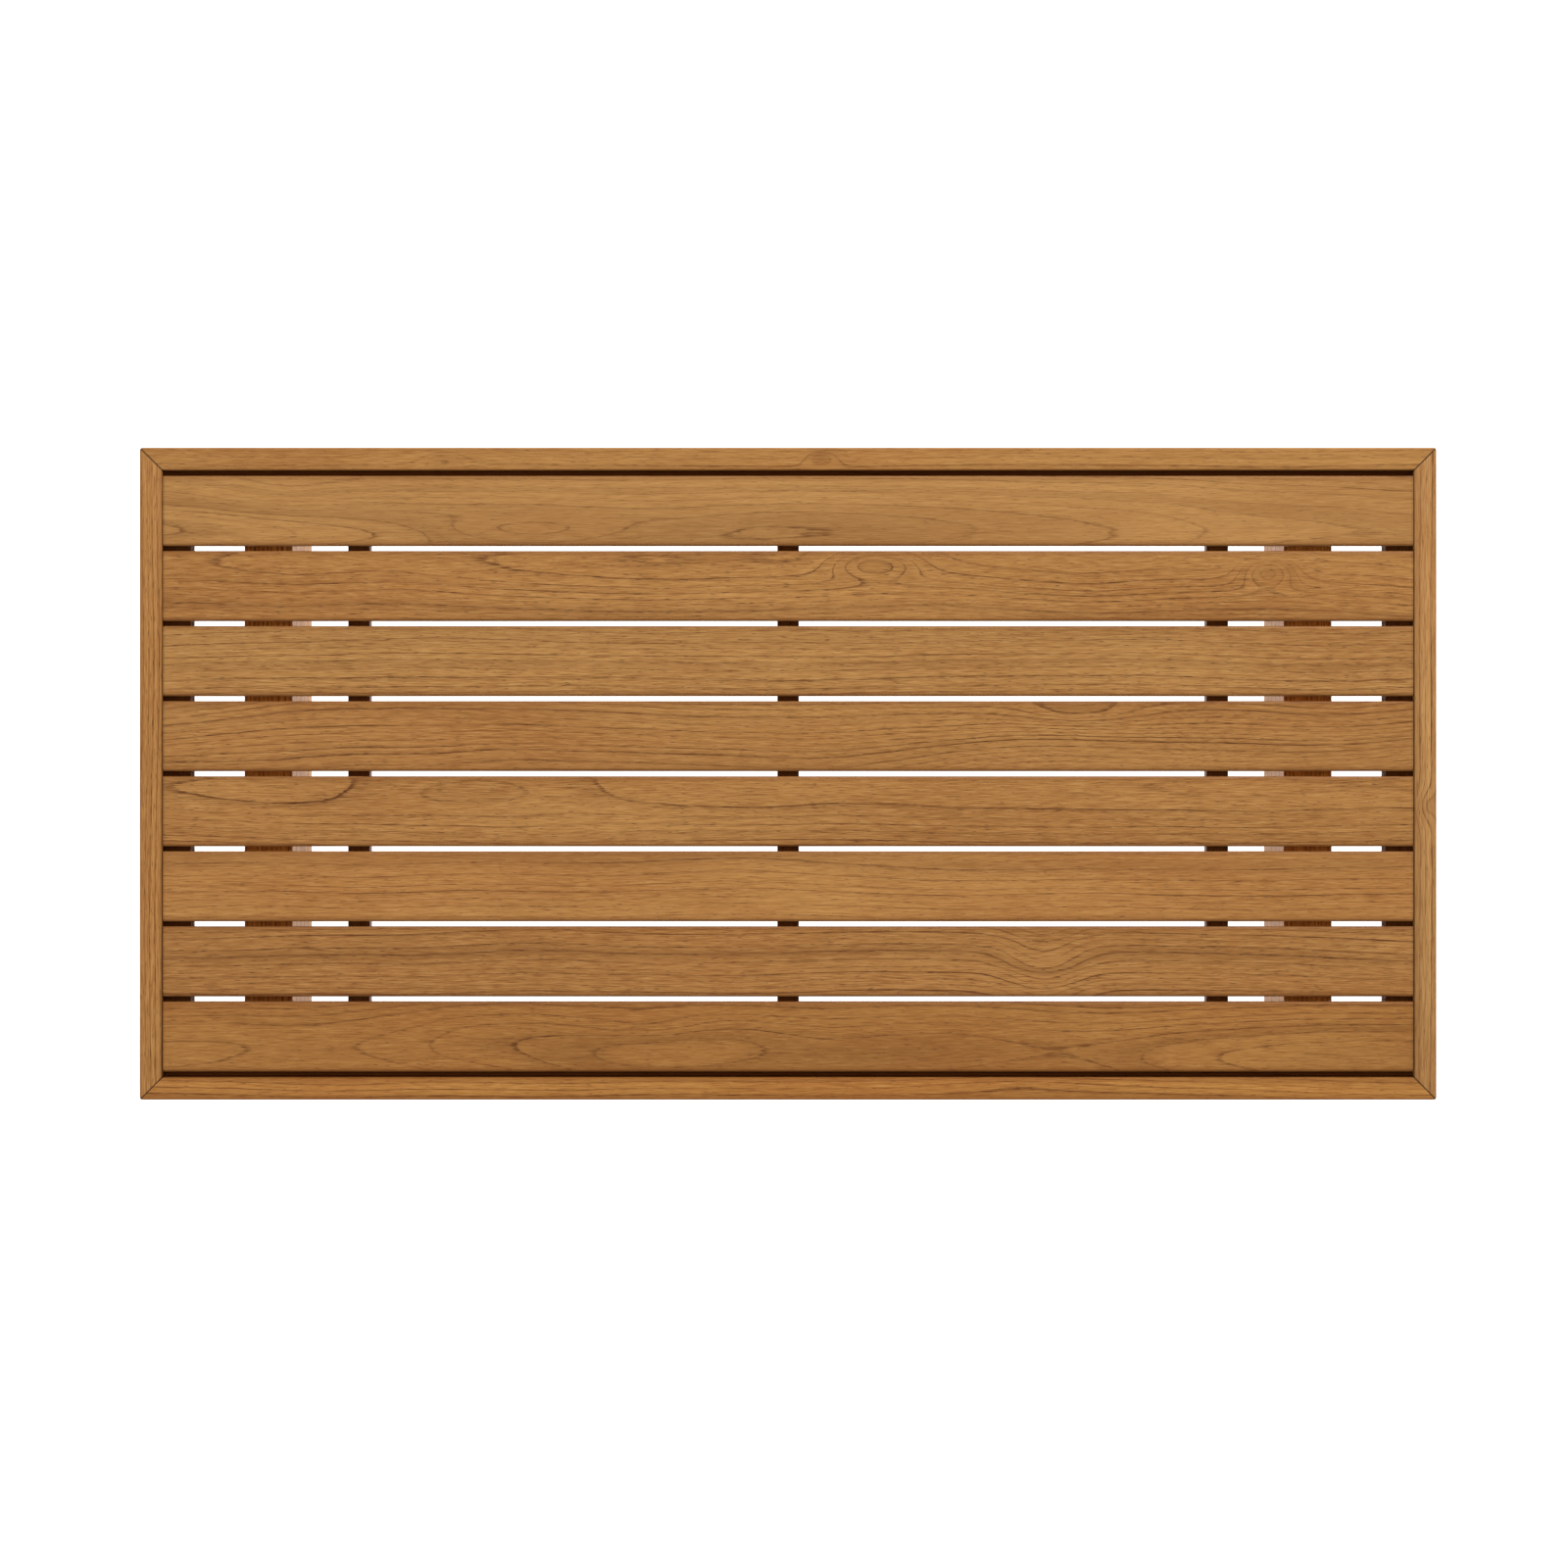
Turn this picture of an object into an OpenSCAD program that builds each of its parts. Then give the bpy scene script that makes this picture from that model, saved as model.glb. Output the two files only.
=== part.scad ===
// Slatted teak low table: a mitred frame holds a row of slats on cleats and battens,
// and two plank-built slab legs are braced under the side cleats.
// Millimetres, +Z up, origin on the floor under the middle of the top.
// Left is -X, right is +X, front is -Y and back is +Y. Slats are counted from the back,
// and the planks of a leg from its top.

/* [Table top] */
// Length of the mitred frame
top_l = 1200; // [1160:10:1320]
// Height of the top above the floor
height = 400; // [360:5:440]
// Number of slats
slat_count = 8; // [6:2:10]
// Width of one slat
slat_w = 65; // [62:1:70]
// Thickness of one slat
slat_t = 18; // [16:1:20]
// Gap between two slats
slat_gap = 4.5; // [3:0.5:7]
// Gap between an outer slat and the long frame board beside it
edge_gap = 5; // [3:0.5:6]
// Gap between a slat's end and the short frame board
end_gap = 1.5; // [1:0.5:3]

/* [Frame] */
// Thickness of the frame boards
frame_t = 21; // [20:1:24]
// Height of the frame boards
frame_h = 75; // [70:1:80]

/* [Supports under the slats] */
// Width of the cleats along the frame
cleat_w = 25; // [24:1:28]
// Height of the cleats along the long sides
side_cleat_h = 45; // [43:1:48]
// Height of the cleats across the ends
end_cleat_h = 57; // [50:1:57]
// Width of the three cross battens
batten_w = 20; // [18:1:24]
// Distance from the middle of the top to an outer cross batten
batten_x = 398; // [385:1:400]

/* [Slab legs] */
// Thickness of a slab leg
leg_t = 45; // [42:1:50]
// Distance from the middle of the top to a leg's outer face
leg_x = 507; // [504:1:512]
// Number of planks stacked in one leg
plank_count = 5; // [4:1:6]
// Height of the plastic glides under the legs
glide_h = 4; // [3:1:6]

/* [Hidden] */
// Inside of the frame, and the slat grid
inner_x = top_l / 2 - frame_t;
slat_pitch = slat_w + slat_gap;
inner_y = slat_count * slat_pitch / 2 - slat_gap / 2 + edge_gap;
top_w = 2 * (inner_y + frame_t);
slat_l = 2 * (inner_x - end_gap);

// Levels, from the top down
slat_z = height - slat_t;
side_cleat_z = slat_z - side_cleat_h;
frame_z = height - frame_h;
screw_line_z = slat_z - side_cleat_h / 2;

// Cleats and battens, in plan
side_cleat_y = inner_y - cleat_w / 2;
cross_l = 2 * (inner_y - cleat_w);
end_cleat_x = inner_x - cleat_w / 2;
support_x = [-end_cleat_x, -batten_x, 0, batten_x, end_cleat_x];

// Legs
leg_side_gap = 0.75;
leg_w = 2 * (inner_y - leg_side_gap);
leg_mid_x = leg_x - leg_t / 2;
plank_h = (side_cleat_z - glide_h) / plank_count;

// Eased edges, as chamfers
board_ease = 1.5;
corner_ease = 3;
cleat_ease = 1;
plank_ease = 2;

// Screws and the stepped holes they sit in
screw_d = 4;
screw_head_d = 8;
screw_head_h = 2.6;
hole_play = 0.2;
counterbore_d = 9;

// Screws up into the slats: two in each slat at a cross support, with one left out where
// it would miss the support, and one in each outer slat at every place along a side cleat
slat_screw_cover = 20;
slat_screw_bite = 12;
slat_screw_l = slat_screw_cover + slat_screw_bite;
slat_screw_off = slat_w / 4;
side_screw_x = [-300, -100, 100, 300];

// Screws from the cleats into the frame
frame_screw_x = [-485, -340, -200, -60, 60, 200, 340, 485];
end_screw_y = [-2 * slat_pitch, 0, 2 * slat_pitch];
frame_counterbore = 6;
frame_screw_bite = 14;
frame_screw_l = cleat_w - frame_counterbore + frame_screw_bite;

// Screws through the side cleats into the ends of the cross pieces
batten_counterbore = 5;
batten_screw_bite = 22;
batten_screw_l = cleat_w - batten_counterbore + batten_screw_bite;

// Loose tongues in the mitres
tongue_t = 4;
tongue_across = 19;
tongue_h = 50;
tongue_play = 0.2;

// Dowels between the planks of a leg
dowel_d = 10;
dowel_l = 40;
dowel_y = [-180, 0, 180];

// Steel angle braces between the legs and the side cleats
brace_arm = 40;
brace_w = 22;
brace_t = 3;
brace_hole_at = [14, 31];
brace_screw_bite = 16;
brace_screw_l = brace_t + brace_screw_bite;
socket_d = 4;
socket_h = 1.6;

// Glides under the legs, and the nails that hold them
glide_d = 28;
glide_ease = 1;
glide_inset = 40;
glide_y = inner_y - glide_inset;
nail_d = 2.6;
nail_l = 18;
nail_head_d = 7;
nail_head_h = 1.2;
nail_sink = 1.4;

// How far a cutting shape runs past the face it opens
past = 1;

teak = "#b07a45";
dark_teak = "#8f6238";
steel = "silver";
black = "#3a3632";

$fn = 32;

// Names of the nodes that come in sets
function across_name(x) = x < 0 ? "left" : "right";
function depth_name(y) = y < 0 ? "front" : y > 0 ? "back" : "middle";
function tongue_name(x, y) = str("mitre_tongue_", across_name(x), "_", depth_name(y));
function slat_name(i) = str("slat_", i);
function plank_name(x, i) = str("leg_", across_name(x), "_plank_", i);
function dowels_name(x) = str("leg_dowels_", across_name(x));
function brace_name(x, face, y) =
    str("leg_brace_", across_name(x), face < 0 ? "_inner_" : "_outer_", depth_name(y));
function glide_name(x, y) = str("floor_glide_", across_name(x), "_", depth_name(y));

// ---- Shapes that repeat ----

module eased_rect(w, h, ease) {
    x = w / 2;
    y = h / 2;
    polygon([
        [x - ease, -y], [x, ease - y], [x, y - ease], [x - ease, y],
        [ease - x, y], [-x, y - ease], [-x, ease - y], [ease - x, -y]
    ]);
}

// A bar along X, centred in plan and standing on z = 0, with its long and end edges eased
module eased_bar(l, w, h, ease) {
    translate([0, 0, h / 2])
        intersection() {
            rotate([90, 0, 90])
                linear_extrude(l, center = true)
                    eased_rect(w, h, ease);
            rotate([90, 0, 0])
                linear_extrude(w, center = true)
                    eased_rect(l, h, ease);
        }
}

// The same bar along Y
module eased_cross_bar(l, w, h, ease) {
    rotate([0, 0, 90])
        eased_bar(l, w, h, ease);
}

// A pan-head screw that points along +Z, with the underside of its head at z = 0
module wood_screw(l) {
    cylinder(d = screw_d, h = l);
    translate([0, 0, -screw_head_h])
        cylinder(d = screw_head_d, h = screw_head_h);
}

// The stepped hole for such a screw, with a counterbore of depth sink
module screw_hole(l, sink) {
    cylinder(d = screw_d + hole_play, h = l + hole_play);
    translate([0, 0, -sink])
        cylinder(d = counterbore_d, h = sink);
}

// ---- Screws that fix the slats, the frame and the cross pieces ----

// Middle of a slat
function slat_y(i) = ((slat_count - 1) / 2 - (i - 1)) * slat_pitch;

function cross_screw_y() = [
    for (i = [1:slat_count], s = [-1, 1])
        let (y = slat_y(i) + s * slat_screw_off)
        if (abs(y) < cross_l / 2) y
];

function slat_screw_places() = concat(
    [for (x = support_x, y = cross_screw_y()) [x, y]],
    [for (x = side_screw_x, s = [-1, 1]) [x, s * side_cleat_y]]
);

module at_slat_screws() {
    for (p = slat_screw_places())
        translate([p[0], p[1], slat_z - slat_screw_cover])
            children();
}

module at_frame_screws() {
    for (x = frame_screw_x, s = [-1, 1])
        translate([x, s * (inner_y - cleat_w + frame_counterbore), screw_line_z])
            rotate([-s * 90, 0, 0])
                children();
    for (y = end_screw_y, s = [-1, 1])
        translate([s * (inner_x - cleat_w + frame_counterbore), y, screw_line_z])
            rotate([0, s * 90, 0])
                children();
}

module at_batten_screws() {
    for (x = support_x, s = [-1, 1])
        translate([x, s * (inner_y - batten_counterbore), screw_line_z])
            rotate([s * 90, 0, 0])
                children();
}

module slat_holes() {
    at_slat_screws()
        screw_hole(slat_screw_l, end_cleat_h);
}

module frame_holes() {
    at_frame_screws()
        screw_hole(frame_screw_l, frame_counterbore + past);
}

module batten_holes() {
    at_batten_screws()
        screw_hole(batten_screw_l, batten_counterbore + past);
}

module slat_screws() {
    color(steel)
        at_slat_screws()
            wood_screw(slat_screw_l);
}

module frame_screws() {
    color(steel)
        at_frame_screws()
            wood_screw(frame_screw_l);
}

module batten_screws() {
    color(steel)
        at_batten_screws()
            wood_screw(batten_screw_l);
}

// ---- Frame ----

// A frame board along X whose outer face is at y = outer, mitred at both ends,
// with the outer corners of the frame eased
module mitred_board(l, outer) {
    x = l / 2;
    tip = corner_ease / 2;
    intersection() {
        translate([0, outer - frame_t / 2, frame_z])
            eased_bar(l, frame_t, frame_h, board_ease);
        translate([0, 0, frame_z])
            linear_extrude(frame_h)
                polygon([
                    [2 * tip - x, outer], [x - 2 * tip, outer], [x - tip, outer - tip],
                    [x - frame_t, outer - frame_t], [frame_t - x, outer - frame_t], [tip - x, outer - tip]
                ]);
    }
}

// The tongue that sits in the mitre at the corner of signs x and y, thickened by play
module tongue(x, y, play) {
    translate([x * (inner_x + frame_t / 2), y * (inner_y + frame_t / 2), frame_z + frame_h / 2])
        rotate([0, 0, -x * y * 45])
            cube([tongue_across + play, tongue_t + play, tongue_h + play], center = true);
}

module tongue_slots() {
    for (x = [-1, 1], y = [-1, 1])
        tongue(x, y, tongue_play);
}

module long_frame_board(side) {
    color(teak)
        difference() {
            mirror([0, side < 0 ? 1 : 0, 0])
                mitred_board(top_l, top_w / 2);
            tongue_slots();
            frame_holes();
        }
}

module short_frame_board(side) {
    color(teak)
        difference() {
            rotate([0, 0, -side * 90])
                mitred_board(top_w, top_l / 2);
            tongue_slots();
            frame_holes();
        }
}

module mitre_tongue(x, y) {
    color(dark_teak)
        tongue(x, y, 0);
}

// ---- Slats and what carries them ----

module slat(i) {
    color(teak)
        difference() {
            translate([0, slat_y(i), slat_z])
                eased_bar(slat_l, slat_w, slat_t, board_ease);
            slat_holes();
        }
}

module side_cleat(side) {
    color(dark_teak)
        difference() {
            translate([0, side * side_cleat_y, side_cleat_z])
                eased_bar(2 * inner_x, cleat_w, side_cleat_h, cleat_ease);
            slat_holes();
            frame_holes();
            batten_holes();
            brace_holes();
        }
}

// A piece across the table, under the slats and between the side cleats
module cross_piece(x, w, h) {
    color(dark_teak)
        difference() {
            translate([x, 0, slat_z - h])
                eased_cross_bar(cross_l, w, h, cleat_ease);
            slat_holes();
            frame_holes();
            batten_holes();
        }
}

// ---- Slab legs ----

// Level of the top of a plank
function plank_top(i) = side_cleat_z - (i - 1) * plank_h;

module at_dowels(side) {
    for (i = [2:plank_count], y = dowel_y)
        translate([side * leg_mid_x, y, plank_top(i)])
            children();
}

module leg_plank(side, i) {
    color(teak)
        difference() {
            translate([side * leg_mid_x, 0, plank_top(i + 1)])
                eased_cross_bar(leg_w, leg_t, plank_h, plank_ease);
            at_dowels(side)
                cylinder(d = dowel_d + hole_play, h = dowel_l + hole_play, center = true);
            brace_holes();
            nail_holes();
        }
}

module leg_dowels(side) {
    color(dark_teak)
        at_dowels(side)
            cylinder(d = dowel_d, h = dowel_l, center = true);
}

// ---- Angle braces ----

// Puts a brace in the corner between a face of a leg and the underside of a side cleat:
// its +X runs away from the leg along the cleat, and its -Z runs down the leg
module at_brace(side, face, y) {
    translate([side * (leg_mid_x + face * leg_t / 2), y * side_cleat_y, side_cleat_z])
        mirror([side * face < 0 ? 1 : 0, 0, 0])
            children();
}

// The four screws of one brace, with their heads on the outside of its arms
module at_brace_screws() {
    for (d = brace_hole_at) {
        translate([d, 0, -brace_t])
            children();
        translate([brace_t, 0, -d])
            rotate([0, -90, 0])
                children();
    }
}

module at_all_brace_screws() {
    for (side = [-1, 1], face = [-1, 1], y = [-1, 1])
        at_brace(side, face, y)
            at_brace_screws()
                children();
}

module brace_holes() {
    at_all_brace_screws()
        cylinder(d = screw_d + hole_play, h = brace_screw_l + hole_play);
}

module leg_brace(side, face, y) {
    color(steel)
        at_brace(side, face, y)
            difference() {
                translate([0, brace_w / 2, 0])
                    rotate([90, 0, 0])
                        linear_extrude(brace_w)
                            polygon([
                                [0, 0], [brace_arm, 0], [brace_arm, -brace_t],
                                [brace_t, -brace_t], [brace_t, -brace_arm], [0, -brace_arm]
                            ]);
                at_brace_screws()
                    translate([0, 0, -past])
                        cylinder(d = screw_d + 2 * hole_play, h = brace_t + 2 * past);
            }
}

module brace_screws() {
    color(steel)
        at_all_brace_screws()
            difference() {
                wood_screw(brace_screw_l);
                translate([0, 0, -screw_head_h - past])
                    cylinder(d = socket_d, h = socket_h + past, $fn = 6);
            }
}

// ---- Glides ----

module at_glide(side, y) {
    translate([side * leg_mid_x, y * glide_y, 0])
        children();
}

// A nail with its head sunk into the glide, thickened by play
module glide_nail(play) {
    translate([0, 0, nail_sink])
        cylinder(d = nail_head_d + play, h = nail_head_h + play / 2);
    translate([0, 0, nail_sink])
        cylinder(d = nail_d + play, h = nail_l + play / 2);
}

module nail_holes() {
    for (side = [-1, 1], y = [-1:1])
        at_glide(side, y)
            glide_nail(hole_play);
}

module floor_glide(side, y) {
    color(black)
        at_glide(side, y)
            difference() {
                rotate_extrude()
                    polygon([
                        [0, 0], [glide_d / 2 - glide_ease, 0], [glide_d / 2, glide_ease],
                        [glide_d / 2, glide_h], [0, glide_h]
                    ]);
                glide_nail(hole_play);
                translate([0, 0, -past])
                    cylinder(d = nail_head_d + hole_play, h = nail_sink + past);
            }
}

module glide_nails() {
    color(steel)
        for (side = [-1, 1], y = [-1:1])
            at_glide(side, y)
                glide_nail(0);
}

// ---- Nodes ----

long_frame_board(1);  // frame_back
long_frame_board(-1);  // frame_front
short_frame_board(-1);  // frame_left
short_frame_board(1);  // frame_right
for (x = [-1, 1], y = [-1, 1])
    mitre_tongue(x, y);

for (i = [1:slat_count])
    slat(i);

side_cleat(1);  // side_cleat_back
side_cleat(-1);  // side_cleat_front
cross_piece(-end_cleat_x, cleat_w, end_cleat_h);  // end_cleat_left
cross_piece(end_cleat_x, cleat_w, end_cleat_h);  // end_cleat_right
cross_piece(-batten_x, batten_w, side_cleat_h);  // cross_batten_left
cross_piece(0, batten_w, side_cleat_h);  // cross_batten_middle
cross_piece(batten_x, batten_w, side_cleat_h);  // cross_batten_right

for (x = [-1, 1], i = [1:plank_count])
    leg_plank(x, i);
for (x = [-1, 1])
    leg_dowels(x);
for (x = [-1, 1], face = [-1, 1], y = [-1, 1])
    leg_brace(x, face, y);
for (x = [-1, 1], y = [-1:1])
    floor_glide(x, y);

slat_screws();
frame_screws();
batten_screws();
brace_screws();
glide_nails();
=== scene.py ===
"""Looks of a slatted teak low table: mitred frame, slats, cleats and battens, two plank-built slab legs.

Metres, +Z up. Back is +Y, front is -Y, left is -X, right is +X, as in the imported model.
"""

import math
import random
from dataclasses import dataclass, field, replace

import bmesh
import bpy
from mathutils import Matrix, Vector


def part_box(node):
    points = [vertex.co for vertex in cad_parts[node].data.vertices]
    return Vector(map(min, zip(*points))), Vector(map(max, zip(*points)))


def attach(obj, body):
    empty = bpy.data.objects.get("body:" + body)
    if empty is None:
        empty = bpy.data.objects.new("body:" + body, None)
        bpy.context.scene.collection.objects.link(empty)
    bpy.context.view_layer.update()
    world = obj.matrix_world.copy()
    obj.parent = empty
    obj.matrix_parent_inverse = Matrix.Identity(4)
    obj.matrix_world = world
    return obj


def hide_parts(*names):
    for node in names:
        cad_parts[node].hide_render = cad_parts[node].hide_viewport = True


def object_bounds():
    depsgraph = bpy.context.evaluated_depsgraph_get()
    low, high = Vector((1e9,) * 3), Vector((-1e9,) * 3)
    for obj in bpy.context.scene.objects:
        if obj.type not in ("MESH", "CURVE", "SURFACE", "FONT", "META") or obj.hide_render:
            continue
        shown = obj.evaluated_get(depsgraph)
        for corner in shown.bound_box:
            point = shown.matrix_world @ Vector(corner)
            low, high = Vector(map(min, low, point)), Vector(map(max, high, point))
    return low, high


MM = 0.001

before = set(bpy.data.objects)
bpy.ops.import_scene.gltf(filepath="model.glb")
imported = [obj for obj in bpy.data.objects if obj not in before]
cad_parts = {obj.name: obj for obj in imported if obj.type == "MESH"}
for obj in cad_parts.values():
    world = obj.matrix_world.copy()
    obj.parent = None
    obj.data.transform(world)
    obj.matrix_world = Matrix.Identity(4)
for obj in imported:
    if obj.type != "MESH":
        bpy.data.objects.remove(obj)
cad_low, cad_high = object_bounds()


# ---------------------------------------------------------------- shader graphs

class Graph:
    """Adds nodes to one node tree. Values may be numbers, tuples or sockets; each call returns a socket."""

    def __init__(self, tree):
        self.tree = tree

    def node(self, kind, **settings):
        made = self.tree.nodes.new(kind)
        for name, value in settings.items():
            setattr(made, name, value)
        return made

    def feed(self, socket, value):
        if isinstance(value, bpy.types.NodeSocket):
            self.tree.links.new(value, socket)
        else:
            socket.default_value = value

    def math(self, operation, *values):
        made = self.node("ShaderNodeMath", operation=operation)
        for socket, value in zip(made.inputs, values):
            self.feed(socket, value)
        return made.outputs[0]

    def add(self, a, b):
        return self.math("ADD", a, b)

    def sub(self, a, b):
        return self.math("SUBTRACT", a, b)

    def mul(self, a, b):
        return self.math("MULTIPLY", a, b)

    def total(self, values):
        result = values[0]
        for value in values[1:]:
            result = self.add(result, value)
        return result

    def join(self, x, y, z):
        made = self.node("ShaderNodeCombineXYZ")
        for socket, value in zip(made.inputs, (x, y, z)):
            self.feed(socket, value)
        return made.outputs[0]

    def split(self, vector):
        made = self.node("ShaderNodeSeparateXYZ")
        self.feed(made.inputs[0], vector)
        return made.outputs

    def stretched(self, point, scales):
        """point times scales, which is one number per axis."""
        made = self.node("ShaderNodeVectorMath", operation="MULTIPLY")
        self.feed(made.inputs[0], point)
        self.feed(made.inputs[1], scales)
        return made.outputs[0]

    def shifted(self, point, offset):
        made = self.node("ShaderNodeVectorMath", operation="ADD")
        self.feed(made.inputs[0], point)
        self.feed(made.inputs[1], offset)
        return made.outputs[0]

    def noise(self, vector, detail=2.0, roughness=0.5, output="Fac"):
        made = self.node("ShaderNodeTexNoise")
        self.feed(made.inputs["Vector"], vector)
        made.inputs["Scale"].default_value = 1.0
        made.inputs["Detail"].default_value = detail
        made.inputs["Roughness"].default_value = roughness
        return made.outputs[output]

    def line_noise(self, value, detail=1.0):
        made = self.node("ShaderNodeTexNoise", noise_dimensions="1D")
        self.feed(made.inputs["W"], value)
        made.inputs["Scale"].default_value = 1.0
        made.inputs["Detail"].default_value = detail
        return made.outputs["Fac"]

    def step(self, value, start, end, low=0.0, high=1.0):
        """low below start, high above end, smooth between them. start may be above end."""
        made = self.node("ShaderNodeMapRange", interpolation_type="SMOOTHSTEP")
        for socket, number in zip(made.inputs, (value, start, end, low, high)):
            self.feed(socket, number)
        return made.outputs[0]

    def swing(self, noise, reach):
        """A noise of 0 to 1, recentred to run from about -reach to reach."""
        return self.mul(self.sub(noise, 0.5), self.mul(reach, 2.0))

    def mix(self, share, a, b, blend="MIX"):
        """Colour a turning into colour b as share goes from 0 to 1."""
        made = self.node("ShaderNodeMix", data_type="RGBA", blend_type=blend, clamp_factor=True)
        self.feed(made.inputs[0], share)
        self.feed(made.inputs[6], a)
        self.feed(made.inputs[7], b)
        return made.outputs[2]


def new_material(name):
    """An empty material, the graph that fills it and its Principled shader."""
    material = bpy.data.materials.new(name)
    material.use_nodes = True
    return material, Graph(material.node_tree), material.node_tree.nodes["Principled BSDF"]


def add_bump(graph, height, strength, distance):
    """The surface normal, made uneven by a height of 0 to 1 that stands for distance."""
    bump = graph.node("ShaderNodeBump")
    bump.inputs["Strength"].default_value = strength
    bump.inputs["Distance"].default_value = distance
    graph.feed(bump.inputs["Height"], height)
    return bump.outputs["Normal"]


def new_group(name, inputs, outputs):
    """An empty shader group with inputs {name: (type, default)} and outputs {name: type}."""
    tree = bpy.data.node_groups.new(name, "ShaderNodeTree")
    for label, (kind, default) in inputs.items():
        socket = tree.interface.new_socket(label, in_out="INPUT", socket_type="NodeSocket" + kind)
        socket.default_value = default
    for label, kind in outputs.items():
        tree.interface.new_socket(label, in_out="OUTPUT", socket_type="NodeSocket" + kind)
    graph = Graph(tree)
    given = graph.node("NodeGroupInput").outputs
    result = graph.node("NodeGroupOutput").inputs
    return graph, given, result


# ---------------------------------------------------------------- teak

# Linear colours of oiled teak, and of the painted shade on its arrises and at board ends
HONEY = (0.430, 0.204, 0.056, 1)
BROWN = (0.350, 0.150, 0.037, 1)
RUSSET = (0.345, 0.120, 0.026, 1)
RING_BROWN = (0.120, 0.036, 0.005, 1)
PORE_BROWN = (0.070, 0.022, 0.004, 1)
FIBRE_PALE = (0.540, 0.300, 0.100, 1)
# The next two colours are painted shade: along the rounded arrises, and in the gaps at board ends and mitres
ARRIS_SHADE_BROWN = (0.200, 0.068, 0.012, 1)
SEAM_SHADE_BROWN = (0.030, 0.008, 0.002, 1)
KNOT_BROWN = (0.170, 0.060, 0.012, 1)

# Features per metre along, across and into the board
WANDER_SCALE = (3.0, 5.0, 5.0)
RIPPLE_SCALE = (11.0, 30.0, 30.0)
FIBRE_SCALE = (24.0, 620.0, 620.0)
FINE_SCALE = (60.0, 1500.0, 1500.0)
STREAK_SCALE = (7.0, 480.0, 480.0)
PORE_SCALE = (75.0, 700.0, 700.0)
FIGURE_SCALE = (95.0, 60.0, 60.0)
ZONE_SCALE = (3.2, 14.0, 14.0)
PRESENCE_SCALE = (6.0, 30.0, 30.0)

# The finest fibres start and end out of step with their neighbours
STAGGER_SCALE = 900.0
STAGGER = 12.0 * MM

# How far rings are from evenly spaced, in rings, and how often that changes per metre of radius
RING_UNEVENNESS = 0.9
UNEVENNESS_SCALE = 60.0

RIPPLE = 0.9 * MM  # how far ring lines wave over a few centimetres
FEATHER = 0.4 * MM  # how far single fibres fray a ring line
LINE_WIDTH = 1.5 * MM
FIBRE_FOLLOWS = 0.4  # share of the pith's wandering that the fibres follow
SWIRL_DEPTH = 18.0 * MM
KNOT_TIGHTNESS = 1.6  # how much smaller a knot's dark core is than its swirl
WOOD_RELIEF = 0.25 * MM
# Widths of the painted shade along the arrises and at the board ends
ARRIS_SHADE_WIDTH = 7.0 * MM
SEAM_SHADE_WIDTH = 1.5 * MM


def swirl_group():
    """A bulge in the growth rings, which closes them into loops, and fades out below the board's top face."""
    graph, given, result = new_group(
        "Swirl",
        {
            "Along": ("Float", 0.0), "Across": ("Float", 0.0), "Below": ("Float", 0.0),
            "Centre along": ("Float", 0.0), "Centre across": ("Float", 0.0),
            "Half length": ("Float", 0.05), "Half width": ("Float", 0.01), "Rings": ("Float", 1.0),
            "Knot": ("Float", 0.0),
        },
        {"Shift": "Float", "Knot": "Float"},
    )
    along = graph.math("DIVIDE", graph.sub(given["Along"], given["Centre along"]), given["Half length"])
    across = graph.math("DIVIDE", graph.sub(given["Across"], given["Centre across"]), given["Half width"])
    below = graph.math("DIVIDE", given["Below"], SWIRL_DEPTH)
    distance = graph.total([graph.mul(along, along), graph.mul(across, across), graph.mul(below, below)])
    bulge = graph.math("EXPONENT", graph.mul(distance, -1.0))
    core = graph.math("EXPONENT", graph.mul(distance, -KNOT_TIGHTNESS))
    graph.feed(result["Shift"], graph.mul(bulge, given["Rings"]))
    graph.feed(result["Knot"], graph.mul(core, given["Knot"]))
    return graph.tree


def grain_field(graph, given):
    """Rings counted out from a wandering pith, how steeply they meet the board's face, and the fibres."""
    along, across, depth = graph.split(given["Point"])
    seeded = graph.shifted(given["Point"], given["Seed"])
    slow = graph.split(graph.noise(graph.stretched(seeded, WANDER_SCALE), 1.0, 0.4, "Color"))
    drift_across = graph.swing(slow[0], given["Wander"])
    drift_depth = graph.swing(slow[1], given["Wander"])
    follow = graph.join(0.0, graph.mul(drift_across, -FIBRE_FOLLOWS), graph.mul(drift_depth, -FIBRE_FOLLOWS))
    flow = graph.shifted(seeded, follow)
    fibre = graph.noise(graph.stretched(flow, FIBRE_SCALE), 3.0, 0.62)

    off_across = graph.sub(across, graph.add(given["Pith across"], drift_across))
    sunk = graph.add(given["Pith depth"], graph.mul(given["Tilt"], along))
    off_depth = graph.sub(depth, graph.add(sunk, drift_depth))
    radius = graph.math("SQRT", graph.add(graph.mul(off_across, off_across), graph.mul(off_depth, off_depth)))
    uneven = graph.swing(graph.line_noise(graph.mul(radius, UNEVENNESS_SCALE)), RING_UNEVENNESS)
    ripple = graph.noise(graph.stretched(seeded, RIPPLE_SCALE), 2.0, 0.5)
    radius = graph.total([radius, graph.swing(ripple, RIPPLE), graph.swing(fibre, FEATHER)])
    rings = graph.total([graph.math("DIVIDE", radius, given["Spacing"]), uneven, given["Ring shift"]])
    slope = graph.math("DIVIDE", graph.math("ABSOLUTE", off_across), radius)
    return rings, slope, flow, fibre


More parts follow.
